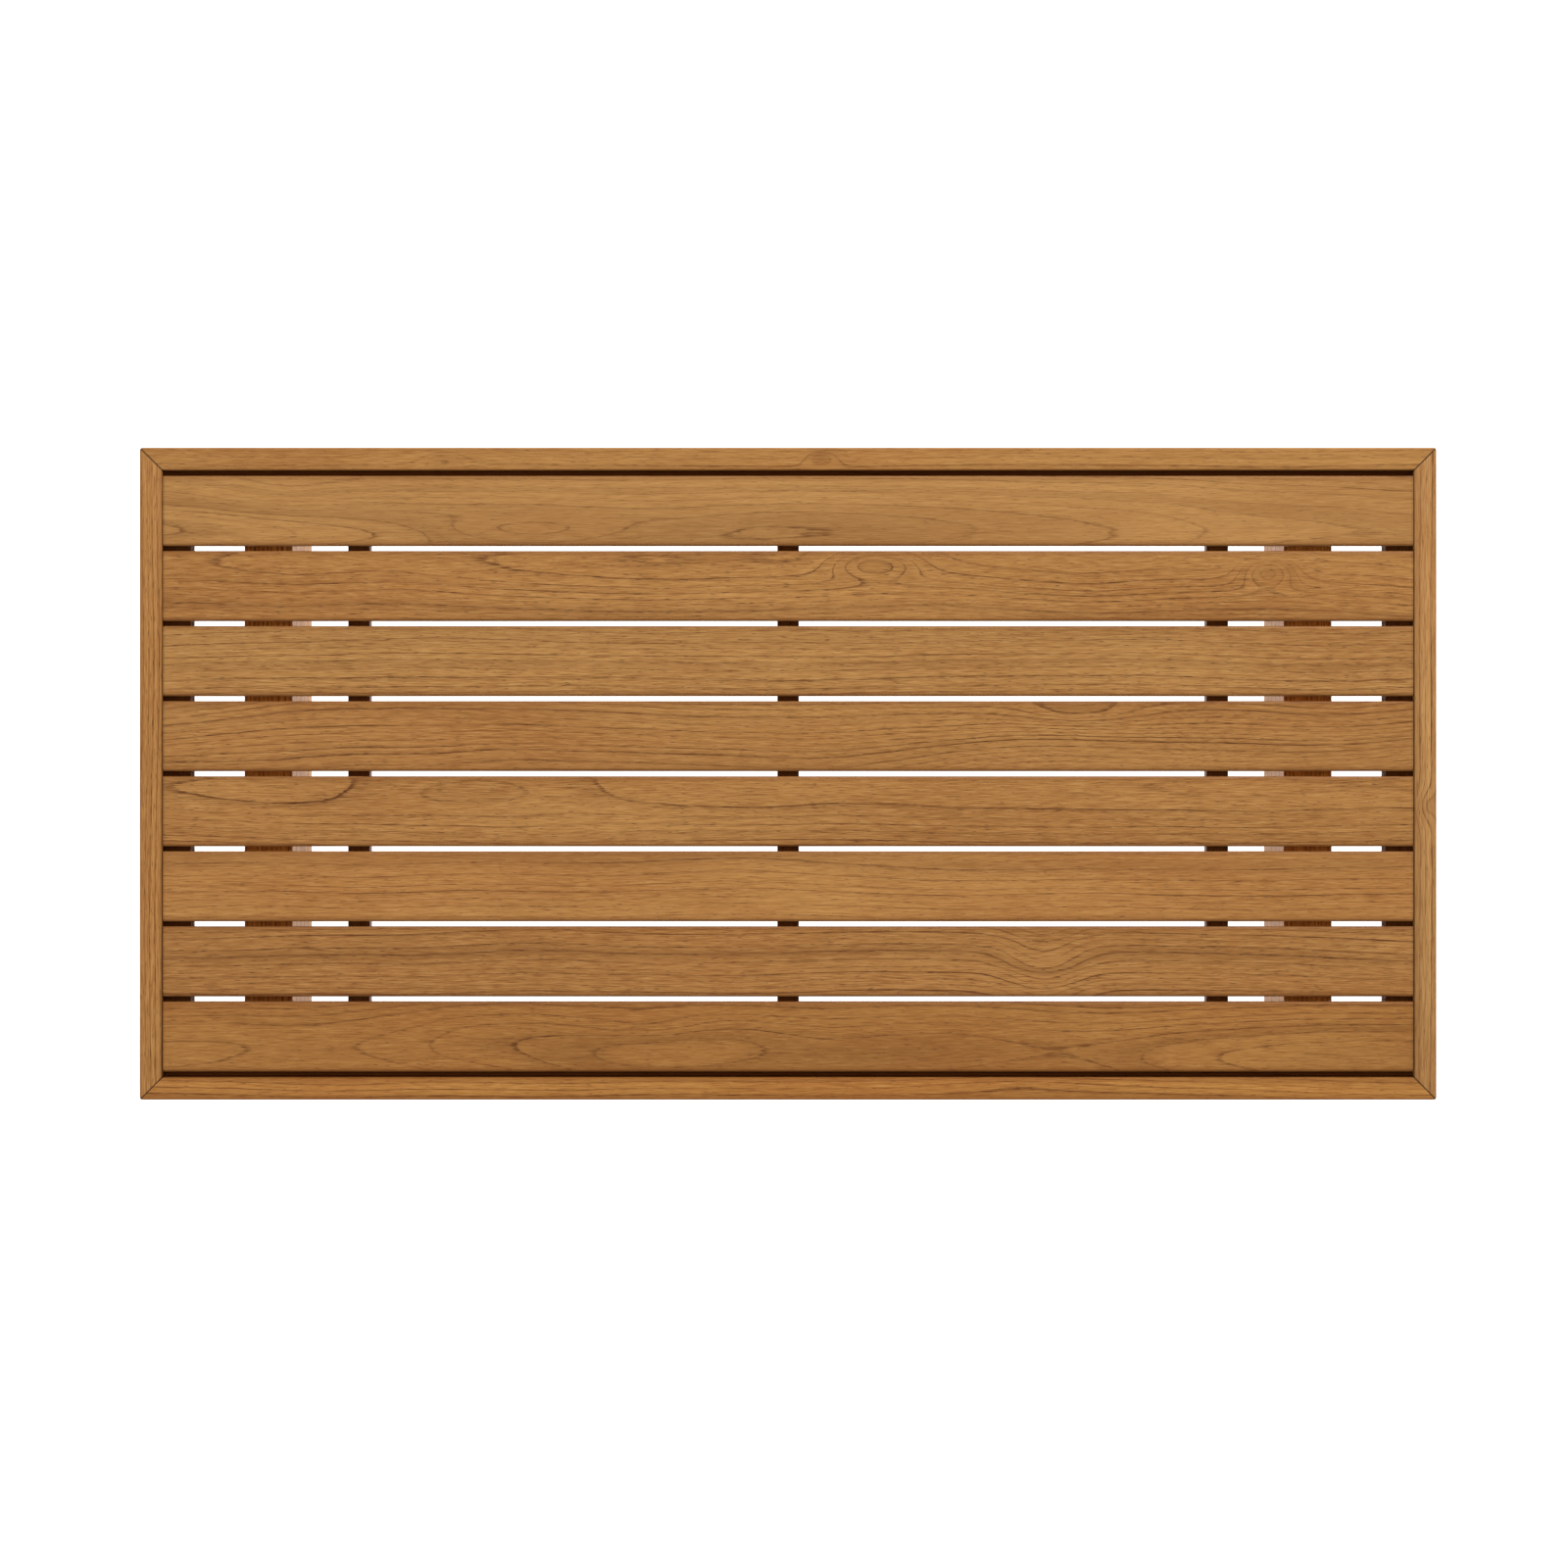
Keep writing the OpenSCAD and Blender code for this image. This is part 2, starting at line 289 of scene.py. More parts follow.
def ring_lines(graph, given, rings, slope):
    """Dark where a ring begins: sharp on the inner side, fading outwards, bolder on some rings."""
    share = graph.math("FRACT", rings)
    chance = graph.node("ShaderNodeTexWhiteNoise", noise_dimensions="1D")
    graph.feed(chance.inputs["W"], graph.add(graph.math("FLOOR", rings), graph.split(given["Seed"])[0]))
    bold, faded, _ = graph.split(chance.outputs["Color"])
    boldness = graph.step(bold, 0.0, 1.0, 0.40, 1.0)
    seeded = graph.shifted(given["Point"], given["Seed"])
    presence = graph.step(graph.noise(graph.stretched(seeded, PRESENCE_SCALE), 1.0), 0.34, 0.58, 0.50, 1.0)
    width = graph.math("DIVIDE", graph.mul(graph.math("MAXIMUM", slope, 0.30), LINE_WIDTH), given["Spacing"])
    line = graph.step(share, width, graph.mul(width, 0.25))
    tail = graph.mul(graph.step(share, 0.75, 0.0), graph.step(faded, 0.2, 1.0, 0.08, 0.50))
    latewood = graph.mul(graph.step(share, 0.80, 1.0), 0.15)
    return graph.mul(graph.mul(graph.total([line, tail, latewood]), boldness), presence)


def pore_marks(graph, flow, ring):
    """Short dark vessels cut open at the surface, larger where a ring begins."""
    cells = graph.node("ShaderNodeTexVoronoi")
    graph.feed(cells.inputs["Vector"], graph.stretched(flow, PORE_SCALE))
    cells.inputs["Scale"].default_value = 1.0
    chance = graph.split(cells.outputs["Color"])[0]
    reach = graph.total([graph.mul(chance, 0.24), graph.mul(ring, 0.26), 0.04])
    return graph.step(cells.outputs["Distance"], reach, graph.mul(reach, 0.35))


def fine_fibres(graph, flow):
    """Fibres under a millimetre wide and a few centimetres long, from 0 to 1."""
    _, across, depth = graph.split(flow)
    row = graph.line_noise(graph.mul(graph.add(across, depth), STAGGER_SCALE))
    staggered = graph.shifted(flow, graph.join(graph.swing(row, STAGGER), 0.0, 0.0))
    return graph.noise(graph.stretched(staggered, FINE_SCALE), 2.0, 0.6)


def broad_zones(graph, given, seeded):
    """Honey, brown and russet parts of one board, a hand's breadth or more in size."""
    zones = graph.split(graph.noise(graph.stretched(seeded, ZONE_SCALE), 2.0, 0.5, "Color"))
    colour = graph.mix(graph.step(zones[0], 0.36, 0.66, 0.15, 0.85), HONEY, BROWN)
    return graph.mix(graph.mul(graph.step(zones[1], 0.42, 0.72), given["Russet"]), colour, RUSSET)


def teak_colour(graph, given, rings, slope, flow, fibre):
    """Colour from broad zones down to single pores, and the marks of the rings and of the pores."""
    seeded = graph.shifted(given["Point"], given["Seed"])
    ring = ring_lines(graph, given, rings, slope)
    pore = pore_marks(graph, flow, ring)
    fine = fine_fibres(graph, flow)
    figure_noise = graph.noise(graph.stretched(seeded, FIGURE_SCALE), 2.0, 0.6)
    figured = graph.mul(graph.swing(figure_noise, 1.0), given["Figure"])

    colour = broad_zones(graph, given, seeded)
    coarse = given["Coarseness"]
    for streaks, strength in ((fibre, 0.12), (fine, 0.62)):
        share = graph.mul(coarse, strength)
        colour = graph.mix(graph.mul(graph.step(streaks, 0.48, 0.76), share), colour, FIBRE_PALE)
        colour = graph.mix(graph.mul(graph.step(streaks, 0.52, 0.24), share), colour, RING_BROWN)
    streak = graph.noise(graph.stretched(flow, STREAK_SCALE), 1.0, 0.5)
    colour = graph.mix(graph.mul(graph.step(streak, 0.56, 0.74), 0.17), colour, RING_BROWN)
    bands = graph.line_noise(graph.add(graph.mul(rings, 0.33), graph.split(given["Seed"])[1]))
    colour = graph.mix(graph.mul(graph.step(bands, 0.50, 0.74), 0.26), colour, RING_BROWN)
    colour = graph.mix(graph.step(figured, 0.0, -0.5, 0.0, 0.5), colour, RING_BROWN)
    colour = graph.mix(graph.mul(given["Knot"], graph.step(fibre, 0.25, 0.65, 0.5, 1.0)), colour, KNOT_BROWN)
    broken = graph.step(fine, 0.64, 0.36, 0.45, 1.0)
    colour = graph.mix(graph.mul(graph.mul(ring, given["Ring strength"]), broken), colour, RING_BROWN)
    colour = graph.mix(graph.mul(pore, graph.mul(coarse, 0.65)), colour, PORE_BROWN)
    return colour, ring, pore


def painted_edge_shade(graph, given, colour):
    """Painted shade: darker where the arris is rounded over, and a thin dark line of painted shade where the
    board ends.
    """
    along, across, depth = graph.split(given["Point"])
    side = graph.sub(given["Half width"], graph.math("ABSOLUTE", across))
    face = graph.sub(given["Half depth"], graph.math("ABSOLUTE", depth))
    square_end = graph.sub(given["Half length"], graph.math("ABSOLUTE", along))
    mitre = given["Mitre"]
    slant = graph.sub(graph.mul(across, mitre), graph.mul(given["Half width"], graph.math("ABSOLUTE", mitre)))
    end = graph.add(square_end, slant)
    # painted shade over the rounded arrises
    arris_shade = graph.step(graph.math("MAXIMUM", side, face), ARRIS_SHADE_WIDTH, 0.0)
    colour = graph.mix(graph.mul(arris_shade, given["Arris shade"]), colour, ARRIS_SHADE_BROWN)
    # painted shade in the gap at the board's ends and mitres
    seam = graph.step(graph.math("MAXIMUM", end, graph.math("MINIMUM", side, face)), SEAM_SHADE_WIDTH, 0.0)
    return graph.mix(graph.mul(seam, given["Seam"]), colour, SEAM_SHADE_BROWN)


def teak_group():
    """Solid teak: growth rings about a wandering pith, pores, fibres, figure, and painted shade on the
    arrises and at the board ends.
    """
    graph, given, result = new_group(
        "Teak",
        {
            "Point": ("Vector", (0, 0, 0)), "Seed": ("Vector", (0, 0, 0)),
            "Pith across": ("Float", 0.0), "Pith depth": ("Float", -0.05), "Tilt": ("Float", 0.0),
            "Wander": ("Float", 0.01), "Spacing": ("Float", 0.007), "Ring shift": ("Float", 0.0),
            "Ring strength": ("Float", 0.5), "Figure": ("Float", 0.0), "Russet": ("Float", 0.3),
            "Coarseness": ("Float", 1.0), "Knot": ("Float", 0.0),
            "Tint": ("Color", (1, 1, 1, 1)), "Half length": ("Float", 0.5), "Half width": ("Float", 0.03),
            "Half depth": ("Float", 0.01), "Mitre": ("Float", 0.0), "Arris shade": ("Float", 0.6),
            "Seam": ("Float", 0.0),
        },
        {"Color": "Color", "Roughness": "Float", "Normal": "Vector"},
    )
    rings, slope, flow, fibre = grain_field(graph, given)
    colour, ring, pore = teak_colour(graph, given, rings, slope, flow, fibre)
    colour = painted_edge_shade(graph, given, colour)
    graph.feed(result["Color"], graph.mix(1.0, colour, given["Tint"], "MULTIPLY"))

    rough = graph.total([0.48, graph.mul(pore, 0.20), graph.mul(ring, 0.08), graph.swing(fibre, 0.05)])
    graph.feed(result["Roughness"], rough)
    height = graph.sub(graph.mul(fibre, 0.6), graph.add(pore, graph.mul(ring, 0.35)))
    graph.feed(result["Normal"], add_bump(graph, height, 0.55, WOOD_RELIEF))
    return graph.tree


@dataclass
class Swirl:
    """A bulge in the growth rings. along and across place its centre, in metres from the board's middle."""

    along: float
    across: float
    half_length: float
    half_width: float
    rings: float
    knot: float = 0.0  # how dark its core is, 0 to 1


@dataclass
class Grain:
    """How one board was sawn. Lengths are in metres, from the board's middle on the axes given to teak."""

    pith_across: float = 0.0
    pith_depth: float = -0.05
    tilt: float = 0.0
    wander: float = 0.010
    spacing: float = 0.007
    rings: float = 0.5
    figure: float = 0.0
    coarse: float = 0.9
    russet: float = 0.35
    tone: float = 1.0
    tint: tuple = (1.0, 1.0, 1.0)
    # strengths of the painted shade along the arrises and at the board ends
    arris_shade: float = 0.62
    seam: float = 0.0
    mitre: float = 0.0  # 1 or -1: mitred ends, with the longer side at +across or -across
    seed: float = 0.0
    swirls: list = field(default_factory=list)


def teak(node, axes, grain, gloss=0.25):
    """A material for one board. axes names the row axes along it, across it and into it."""
    material, graph, shader = new_material(f"teak_{node}")
    shader.inputs["Specular IOR Level"].default_value = gloss

    low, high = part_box(node)
    order = ["xyz".index(axis) for axis in axes]
    place = graph.split(graph.node("ShaderNodeTexCoord").outputs["Object"])
    along, across, depth = (graph.sub(place[i], (low[i] + high[i]) / 2) for i in order)
    half = [(high[i] - low[i]) / 2 for i in order]
    if grain.mitre:  # it runs to the frame's corners, which the CAD board's eased tips don't reach
        half[0] = (cad_high[order[0]] - cad_low[order[0]]) / 2

    wood = graph.node("ShaderNodeGroup", node_tree=TEAK)
    graph.feed(wood.inputs["Point"], graph.join(along, across, depth))
    rng = random.Random(grain.seed * 977 + 13)
    wood.inputs["Seed"].default_value = [rng.uniform(-40, 40) for _ in range(3)]
    wood.inputs["Tint"].default_value = [grain.tone * part for part in grain.tint] + [1]
    numbers = {
        "Pith across": grain.pith_across, "Pith depth": grain.pith_depth, "Tilt": grain.tilt,
        "Wander": grain.wander, "Spacing": grain.spacing, "Ring strength": grain.rings,
        "Figure": grain.figure, "Russet": grain.russet, "Coarseness": grain.coarse,
        "Arris shade": grain.arris_shade, "Seam": grain.seam, "Mitre": grain.mitre,
        "Half length": half[0], "Half width": half[1], "Half depth": half[2],
    }
    for label, number in numbers.items():
        wood.inputs[label].default_value = number
    below = graph.sub(half[2], depth)
    bulges = [add_swirl(graph, along, across, below, swirl) for swirl in grain.swirls]
    if bulges:
        graph.feed(wood.inputs["Ring shift"], graph.total([bulge["Shift"] for bulge in bulges]))
        graph.feed(wood.inputs["Knot"], graph.total([bulge["Knot"] for bulge in bulges]))
    graph.feed(shader.inputs["Base Color"], wood.outputs["Color"])
    graph.feed(shader.inputs["Roughness"], wood.outputs["Roughness"])
    graph.feed(shader.inputs["Normal"], wood.outputs["Normal"])
    return material


def add_swirl(graph, along, across, below, swirl):
    """The outputs Shift and Knot of one swirl. below is the depth under the board's top face."""
    made = graph.node("ShaderNodeGroup", node_tree=SWIRL)
    graph.feed(made.inputs["Along"], along)
    graph.feed(made.inputs["Across"], across)
    graph.feed(made.inputs["Below"], below)
    numbers = {
        "Centre along": swirl.along, "Centre across": swirl.across, "Half length": swirl.half_length,
        "Half width": swirl.half_width, "Rings": swirl.rings, "Knot": swirl.knot,
    }
    for label, number in numbers.items():
        made.inputs[label].default_value = number
    return made.outputs


SWIRL = swirl_group()
TEAK = teak_group()


# ---------------------------------------------------------------- other materials

STEEL_GREY = (0.36, 0.355, 0.345, 1)
STEEL_DARK = (0.25, 0.245, 0.235, 1)
STEEL_RELIEF = 0.05 * MM
PLASTIC_BLACK = (0.022, 0.020, 0.018, 1)
PLASTIC_DUSTY = (0.060, 0.055, 0.048, 1)
PLASTIC_RELIEF = 0.08 * MM

# Features per metre along X, Y and Z
SCRATCH_SCALE = (400.0, 9000.0, 2500.0)
STAIN_SCALE = (90.0, 90.0, 90.0)
PEBBLE_SCALE = (2500.0, 2500.0, 2500.0)
DUST_SCALE = (160.0, 160.0, 160.0)


def brushed_steel():
    material, graph, shader = new_material("brushed_steel")
    shader.inputs["Metallic"].default_value = 1.0
    place = graph.node("ShaderNodeTexCoord").outputs["Object"]
    scratches = graph.noise(graph.stretched(place, SCRATCH_SCALE), 3.0, 0.6)
    stains = graph.noise(graph.stretched(place, STAIN_SCALE), 3.0, 0.5)
    colour = graph.mix(graph.step(stains, 0.35, 0.7), STEEL_GREY, STEEL_DARK)
    graph.feed(shader.inputs["Base Color"], colour)
    rough = graph.total([0.24, graph.mul(scratches, 0.2), graph.mul(stains, 0.12)])
    graph.feed(shader.inputs["Roughness"], rough)
    graph.feed(shader.inputs["Normal"], add_bump(graph, scratches, 0.3, STEEL_RELIEF))
    return material


def moulded_plastic():
    material, graph, shader = new_material("moulded_plastic")
    place = graph.node("ShaderNodeTexCoord").outputs["Object"]
    pebble = graph.noise(graph.stretched(place, PEBBLE_SCALE), 2.0, 0.6)
    dust = graph.noise(graph.stretched(place, DUST_SCALE), 4.0, 0.6)
    colour = graph.mix(graph.step(dust, 0.45, 0.8), PLASTIC_BLACK, PLASTIC_DUSTY)
    graph.feed(shader.inputs["Base Color"], colour)
    graph.feed(shader.inputs["Roughness"], graph.total([0.5, graph.mul(dust, 0.2)]))
    graph.feed(shader.inputs["Normal"], add_bump(graph, pebble, 0.4, PLASTIC_RELIEF))
    return material


# ---------------------------------------------------------------- mesh pieces

FRAME_EASE = 1.4 * MM
FRAME_CORNER = 2.5 * MM
MITRE_GAP = 0.04 * MM
CUT_PITCH = 60 * MM
HAND_WORK = 0.15 * MM


def finish_mesh(bm, node, material):
    """Turns bm into a shaded piece that stands for the CAD node of the same place."""
    name = f"teak_{node}"
    mesh = bpy.data.meshes.new(name)
    bmesh.ops.recalc_face_normals(bm, faces=bm.faces)
    bm.to_mesh(mesh)
    bm.free()
    piece = bpy.data.objects.new(name, mesh)
    bpy.context.scene.collection.objects.link(piece)
    for polygon in mesh.polygons:
        polygon.use_smooth = True
    mesh.materials.append(material)
    weighted = piece.modifiers.new("even_shading", "WEIGHTED_NORMAL")
    weighted.keep_sharp = False
    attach(piece, "root")
    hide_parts(node)
    return piece


def cross_cuts(bm, low, high, axis, pitch):
    """Cuts bm across its length every pitch, so that it can bend a little."""
    i = "xyz".index(axis)
    count = max(2, round((high[i] - low[i]) / pitch))
    normal = Vector([1.0 if k == i else 0.0 for k in range(3)])
    for k in range(1, count):
        place = Vector(low)
        place[i] = low[i] + (high[i] - low[i]) * k / count
        geometry = bm.verts[:] + bm.edges[:] + bm.faces[:]
        bmesh.ops.bisect_plane(bm, geom=geometry, plane_co=place, plane_no=normal)


def worked_by_hand(bm, low, high, axis, seed, amount):
    """Moves bm's points inwards by up to about amount, in long soft waves, as planing leaves them."""
    rng = random.Random(seed)
    i = "xyz".index(axis)
    across = [k for k in range(3) if k != i]
    waves = []  # each is a frequency, a phase and a height
    for _ in range(5):
        waves.append((rng.uniform(4, 18), rng.uniform(0, 6.3), rng.uniform(0.2, 1.0)))
    for vert in bm.verts:
        along = vert.co[i] - low[i]
        for n, k in enumerate(across):
            side = 1 if vert.co[k] > (low[k] + high[k]) / 2 else -1
            wave = sum(h * math.sin(along * f + p + 2.1 * n + side) for f, p, h in waves)
            vert.co[k] -= side * amount * (0.5 + 0.16 * wave)


def extent(edge, i):
    """How far an edge reaches along axis i."""
    return abs(edge.verts[0].co[i] - edge.verts[1].co[i])


def rounded_board(node, axis, ease, end_ease, material, seed, reach=0.0):
    """A straight board in the box of its CAD node, longer at both ends by reach, with rounded arrises."""
    low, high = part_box(node)
    i = "xyz".index(axis)
    low[i] -= reach
    high[i] += reach
    bm = bmesh.new()
    bmesh.ops.create_cube(bm, size=1.0)
    size = high - low
    for vert in bm.verts:
        vert.co = Vector([low[k] + (vert.co[k] + 0.5) * size[k] for k in range(3)])
    lengthwise = [edge for edge in bm.edges if extent(edge, i) > MM]
    bmesh.ops.bevel(
        bm, geom=lengthwise, offset=ease, segments=5, profile=0.5, affect="EDGES", clamp_overlap=True)
    round_ends = [edge for edge in bm.edges if extent(edge, i) < MM]
    bmesh.ops.bevel(
        bm, geom=round_ends, offset=end_ease, segments=3, profile=0.5, affect="EDGES", clamp_overlap=True)
    cross_cuts(bm, low, high, axis, CUT_PITCH)
    worked_by_hand(bm, low, high, axis, seed, HAND_WORK)
    return finish_mesh(bm, node, material)


def mitred_outline(length, outer, thickness, radius, gap):
    """Plan of a board along X at the back: mitred ends with a hairline gap, rounded outer corners."""
    x = length / 2
    steps = 5
    corner = []
    for k in range(steps + 1):
        turn = math.radians(90 - 45 * k / steps)
        corner.append((x - radius + radius * math.cos(turn), outer - radius + radius * math.sin(turn)))
    tip_x, tip_y = corner[-1]
    corner[-1] = (tip_x - gap, tip_y)
    right = corner + [(x - thickness - gap, outer - thickness)]
    left = [(-px, py) for px, py in reversed(right)]
    return right + left


def mitred_frame_board(node, side, material):
    """side is the row direction of the board's outer face: one of +y, -y, +x, -x."""
    low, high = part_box(node)
    along, outwards = (0, 1) if side[1] == "y" else (1, 0)
    length = cad_high[along] - cad_low[along]
    thickness = high[outwards] - low[outwards]
    outer = max(abs(high[outwards]), abs(low[outwards]))
    outline = mitred_outline(length, outer, thickness, FRAME_CORNER, MITRE_GAP)
    turn = {"+y": 0, "-y": 180, "+x": -90, "-x": 90}[side]
    c, s = math.cos(math.radians(turn)), math.sin(math.radians(turn))
    bm = bmesh.new()
    ring = [bm.verts.new((x * c - y * s, x * s + y * c, low.z)) for x, y in outline]
    base = bm.faces.new(ring)
    raised = bmesh.ops.extrude_face_region(bm, geom=[base])
    for vert in [g for g in raised["geom"] if isinstance(g, bmesh.types.BMVert)]:
        vert.co.z = high.z
    bm.normal_update()
    # Level edges, but not the mitres, which are the ones that cross the board
    long_edges = [e for e in bm.edges if extent(e, 2) < MM and extent(e, outwards) <= thickness / 2]
    bmesh.ops.bevel(
        bm, geom=long_edges, offset=FRAME_EASE, segments=4, profile=0.5, affect="EDGES", clamp_overlap=True)
    return finish_mesh(bm, node, material)


# ---------------------------------------------------------------- the boards

SLAT_EASE = 2.6 * MM
SLAT_END_EASE = 0.5 * MM
SLAT_REACH = 1.1 * MM  # past the CAD slat, towards the frame, at each end
# strength of the painted shade at the slat ends
SLAT_SEAM_SHADE = 0.20
PLANK_EASE = 2.5 * MM
PLANK_GLOSS = 0.12
# closer rings for the top plank, and a tint that is painted light for the light reaching its top through the
# gaps
TOP_PLANK_GRAIN_AND_LIT_TINT = {"spacing": 3.8 * MM, "rings": 2.2, "tint": (1.10, 1.00, 0.78)}
HIDDEN_SHADE_TINT = (0.26, 0.15, 0.10)  # painted shade: the cleats and battens are darkened to stand for the deep shade under the slats
HIDDEN_GLOSS = 0.06

# From back to front. Tones and tints run darker and warmer towards the front: partly each board's own tone,
# partly a painted lighting gradient for the light from the back.
SLAT_GRAINS = [
    Grain(pith_across=-0.020, pith_depth=-0.020, tilt=-0.030, wander=0.012, spacing=0.0046, rings=0.70,
          coarse=0.65, tone=1.05, tint=(0.99, 1.05, 1.14), russet=0.18, seed=1,
          swirls=[Swirl(-0.24, -0.018, 0.085, 0.013, 2.6), Swirl(-0.47, 0.018, 0.060, 0.016, 2.0)]),
    Grain(pith_across=0.026, pith_depth=-0.020, tilt=0.016, wander=0.014, spacing=0.0042, rings=0.80,
          figure=0.30, coarse=1.15, tone=1.02, russet=0.30, seed=2,
          swirls=[Swirl(0.080, 0.020, 0.040, 0.014, 4.4, 0.22),
                  Swirl(0.444, 0.014, 0.026, 0.015, 5.2, 0.20)]),
    Grain(pith_across=0.060, pith_depth=-0.030, tilt=-0.006, wander=0.012, spacing=0.0056, rings=1.00,
          coarse=1.20, tone=1.03, tint=(1.00, 1.04, 1.09), russet=0.25, seed=3),
    Grain(pith_across=-0.050, pith_depth=-0.024, tilt=0.020, wander=0.034, spacing=0.0050, rings=1.00,
          coarse=1.05, tone=0.99, russet=0.35, seed=4,
          swirls=[Swirl(0.267, 0.022, 0.060, 0.014, 3.0)]),
    Grain(pith_across=0.022, pith_depth=-0.022, tilt=0.010, wander=0.010, spacing=0.0050, rings=0.95,
          coarse=1.15, tone=1.00, russet=0.30, seed=15,
          swirls=[Swirl(-0.297, 0.018, 0.110, 0.016, 1.6)]),
    Grain(pith_across=0.080, pith_depth=-0.040, tilt=0.004, wander=0.012, spacing=0.0066, rings=0.75,
          coarse=0.95, tone=1.06, russet=0.35, seed=6),
    Grain(pith_across=0.075, pith_depth=-0.030, tilt=-0.003, wander=0.014, spacing=0.0054, rings=1.00,
          coarse=1.15, tone=0.97, tint=(1.00, 0.98, 0.97), russet=0.30, seed=7,
          swirls=[Swirl(0.2365, -0.004, 0.038, 0.060, -3.2)]),
    Grain(pith_across=-0.016, pith_depth=-0.030, tilt=0.022, wander=0.016, spacing=0.0046, rings=0.80,
          coarse=0.92, tone=0.93, tint=(1.01, 0.96, 0.85), russet=0.45, seed=9,
          swirls=[Swirl(-0.13, 0.010, 0.050, 0.012, 1.4)]),
]

# The back and right boards are tinted lighter and cooler than the front and left ones: partly their own tone,
# partly a painted lighting gradient for the light from the back right.
FRAME_GRAINS = {
    "+y": Grain(pith_across=0.08, pith_depth=0.03, tilt=0.006, wander=0.008, spacing=0.0060, rings=0.60,
                coarse=0.85, tone=1.11, tint=(1.00, 1.04, 1.06), arris_shade=0.30, seam=1.0, mitre=1, seed=21,
                swirls=[Swirl(0.031, 0.002, 0.016, 0.008, 2.6, 0.75),
                        Swirl(-0.318, 0.0, 0.020, 0.010, 2.4, 0.40)]),
    "-y": Grain(pith_across=0.045, pith_depth=0.055, tilt=-0.010, wander=0.010, spacing=0.0058, rings=1.70,
                coarse=1.00, tone=1.12, tint=(0.96, 0.90, 0.74), arris_shade=0.50, seam=1.0, mitre=-1, seed=22,
                swirls=[Swirl(0.21, 0.004, 0.080, 0.010, 1.6), Swirl(0.207, -0.012, 0.005, 0.003, 0.5, 0.7)]),
    "-x": Grain(pith_across=0.07, pith_depth=0.02, tilt=0.01, wander=0.006, spacing=0.0050, rings=0.90,
                coarse=1.05, tone=1.05, arris_shade=0.35, seam=1.0, mitre=-1, seed=23),
    "+x": Grain(pith_across=-0.07, pith_depth=0.02, tilt=0.01, wander=0.006, spacing=0.0055, rings=0.85,
                coarse=0.85, tone=1.13, tint=(1.01, 1.12, 1.34), arris_shade=0.25, seam=1.0, mitre=1, seed=24,
                swirls=[Swirl(-0.03, 0.0, 0.014, 0.010, 1.8, 0.35)]),
}


def build_slats():
    for i, grain in enumerate(SLAT_GRAINS, start=1):
        node = f"slat_{i}"
        material = teak(node, "xyz", replace(grain, seam=SLAT_SEAM_SHADE))
        rounded_board(node, "x", SLAT_EASE, SLAT_END_EASE, material, seed=i, reach=SLAT_REACH)


def build_frame():
    sides = {"frame_back": "+y", "frame_front": "-y", "frame_left": "-x", "frame_right": "+x"}
    for node, side in sides.items():
        axes = "xyz" if side[1] == "y" else "yxz"
        mitred_frame_board(node, side, teak(node, axes, FRAME_GRAINS[side]))


def plank_grain(rng):
    """A plank sawn from somewhere in the trunk, with its own tone."""
    return Grain(
        pith_across=rng.uniform(-0.03, 0.03),
        pith_depth=rng.uniform(0.03, 0.07) * rng.choice((-1, 1)),
        tilt=rng.uniform(-0.02, 0.02),
        wander=rng.uniform(0.008, 0.016),
        spacing=rng.uniform(0.006, 0.010),
        rings=rng.uniform(1.2, 1.8),
        figure=rng.uniform(0, 0.2),
        coarse=1.15,
        tone=rng.uniform(0.98, 1.10),
        russet=rng.uniform(0.25, 0.5),
        arris_shade=0.45,
        seed=40 + rng.random() * 30,
    )


def build_legs():
    """Plank 1 is the top one, closer grained than the others, and tinted redder and less blue as painted
    light for the light reaching its top through the gaps.
    """
    rng = random.Random(61)
    for side in ("left", "right"):
        for i in range(1, 6):
            node = f"leg_{side}_plank_{i}"
            grain = plank_grain(rng)
            if i == 1:
                grain = replace(grain, **TOP_PLANK_GRAIN_AND_LIT_TINT)
            material = teak(node, "yzx", grain, gloss=PLANK_GLOSS)
            rounded_board(node, "y", PLANK_EASE, PLANK_EASE / 2, material, seed=100 + i)


def dress_supports():
    """The cleats and battens keep their CAD shape, with its screw holes."""
    lengthwise = {"side_cleat_back": 31, "side_cleat_front": 32}
    crosswise = {"end_cleat_left": 33, "end_cleat_right": 34, "cross_batten_left": 35,
                 "cross_batten_middle": 36, "cross_batten_right": 37}
    for node, seed in {**lengthwise, **crosswise}.items():
        axes = "xyz" if node in lengthwise else "yxz"
        # their dark tint is painted shade for the deep shade under the slats
        grain = Grain(pith_across=0.05, pith_depth=-0.03, tilt=0.01, wander=0.006, spacing=0.0065, rings=0.5,
                      tint=HIDDEN_SHADE_TINT, russet=0.5, arris_shade=0.2, seed=seed)
        repaint(node, teak(node, axes, grain, gloss=HIDDEN_GLOSS))


def repaint(node, material):
    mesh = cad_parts[node].data
    mesh.materials.clear()
    mesh.materials.append(material)


def dress_hardware():
    steel = brushed_steel()
    plastic = moulded_plastic()
    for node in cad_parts:
        if node.startswith("leg_brace") or node.endswith("screws") or node.endswith("nails"):
            repaint(node, steel)
        if node.startswith("floor_glide"):
            repaint(node, plastic)
        if node.startswith("mitre_tongue") or node.startswith("leg_dowels"):
            grain = Grain(wander=0.003, spacing=0.004, rings=0.3, tone=0.8, arris_shade=0.0, seed=70)
            repaint(node, teak(node, "zxy", grain))


# ---------------------------------------------------------------- floor, light and camera

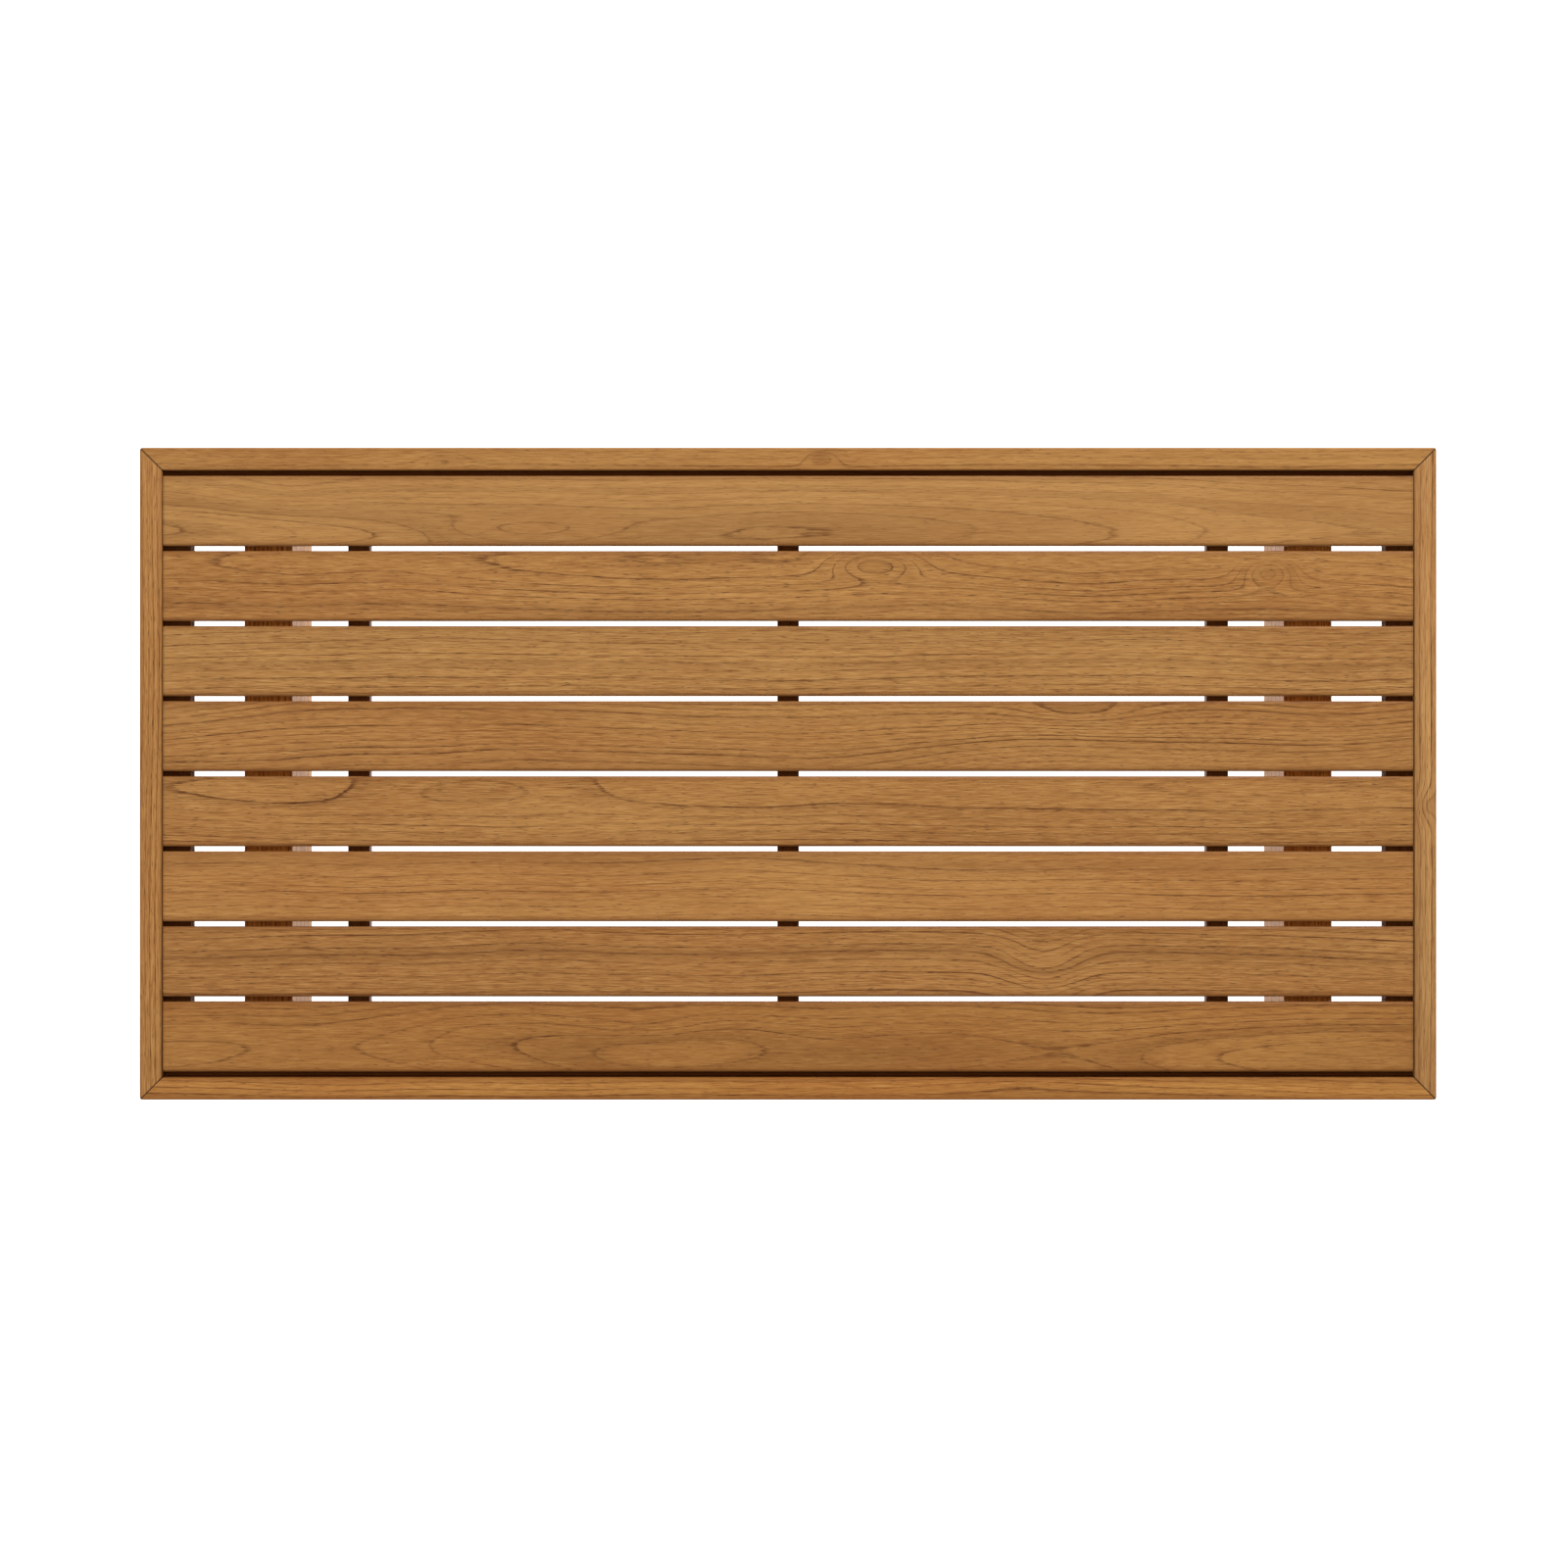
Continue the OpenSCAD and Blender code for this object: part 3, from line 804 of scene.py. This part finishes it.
FLOOR_SIZE = 60.0
FLOOR_CLEARANCE = 0.2 * MM
BACKDROP_RADIUS = 28.0
WORLD_STRENGTH = 0.36
CAMERA_HEIGHT = 8.06  # above the table top
CAMERA_OFFSET = (-3.8 * MM, -9.5 * MM)
LENS = 200.0
SENSOR_WIDTH = 36.0


def add_floor():
    bpy.ops.mesh.primitive_plane_add(size=FLOOR_SIZE, location=(0, 0, -FLOOR_CLEARANCE))
    floor = bpy.context.object
    floor.name = "floor"
    material, _, shader = new_material("floor_white")
    shader.inputs["Base Color"].default_value = (0.80, 0.80, 0.80, 1)
    shader.inputs["Roughness"].default_value = 0.9
    shader.inputs["Specular IOR Level"].default_value = 0.1
    shader.inputs["Emission Color"].default_value = (1, 1, 1, 1)
    shader.inputs["Emission Strength"].default_value = 1.00
    floor.data.materials.append(material)


def add_backdrop():
    """A white shell about the whole stage. Only the camera sees it: it gives no light and casts no shadow."""
    bpy.ops.mesh.primitive_uv_sphere_add(
        segments=48, ring_count=24, radius=BACKDROP_RADIUS, location=(0, 0, 0))
    backdrop = bpy.context.object
    backdrop.name = "backdrop"
    material, _, shader = new_material("backdrop_white")
    shader.inputs["Base Color"].default_value = (0.0, 0.0, 0.0, 1)
    shader.inputs["Specular IOR Level"].default_value = 0.0
    shader.inputs["Emission Color"].default_value = (1, 1, 1, 1)
    shader.inputs["Emission Strength"].default_value = 1.0
    backdrop.data.materials.append(material)
    backdrop.visible_diffuse = False
    backdrop.visible_glossy = False
    backdrop.visible_transmission = False
    backdrop.visible_volume_scatter = False
    backdrop.visible_shadow = False


def add_area_light(name, place, target, size, power):
    """A rectangular light at place, turned towards target; power is in watts."""
    data = bpy.data.lights.new(name, "AREA")
    data.shape = "RECTANGLE"
    data.size, data.size_y = size
    data.energy = power
    light = bpy.data.objects.new(name, data)
    light.location = place
    light.rotation_euler = (Vector(target) - Vector(place)).to_track_quat("-Z", "Y").to_euler()
    bpy.context.scene.collection.objects.link(light)
    return light


def add_lights():
    world = bpy.data.worlds.new("studio")
    world.use_nodes = True
    background = world.node_tree.nodes["Background"]
    background.inputs["Color"].default_value = (1.0, 1.0, 1.0, 1)
    background.inputs["Strength"].default_value = WORLD_STRENGTH
    bpy.context.scene.world = world
    top = (0, 0, cad_high[2])
    add_area_light("key_light", (1.3, 3.4, 2.7), top, (3.0, 2.0), 150)
    add_area_light("fill_light", (-2.6, -1.2, 3.0), top, (2.5, 2.5), 30)
    overhead = add_area_light("overhead_light", (0.2, 0.3, 6.0), top, (1.0, 1.0), 80)
    overhead.visible_glossy = False
    overhead.visible_camera = False


def add_camera():
    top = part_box("slat_1")[1].z
    data = bpy.data.cameras.new("camera")
    data.lens = LENS
    data.sensor_width = SENSOR_WIDTH
    data.clip_start = 0.1
    data.clip_end = 100.0
    camera = bpy.data.objects.new("camera", data)
    camera.location = (CAMERA_OFFSET[0], CAMERA_OFFSET[1], top + CAMERA_HEIGHT)
    bpy.context.scene.collection.objects.link(camera)
    bpy.context.scene.camera = camera


bpy.context.scene.view_settings.view_transform = "Standard"
add_camera()
add_lights()
add_floor()
add_backdrop()
build_slats()
build_frame()
build_legs()
dress_supports()
dress_hardware()
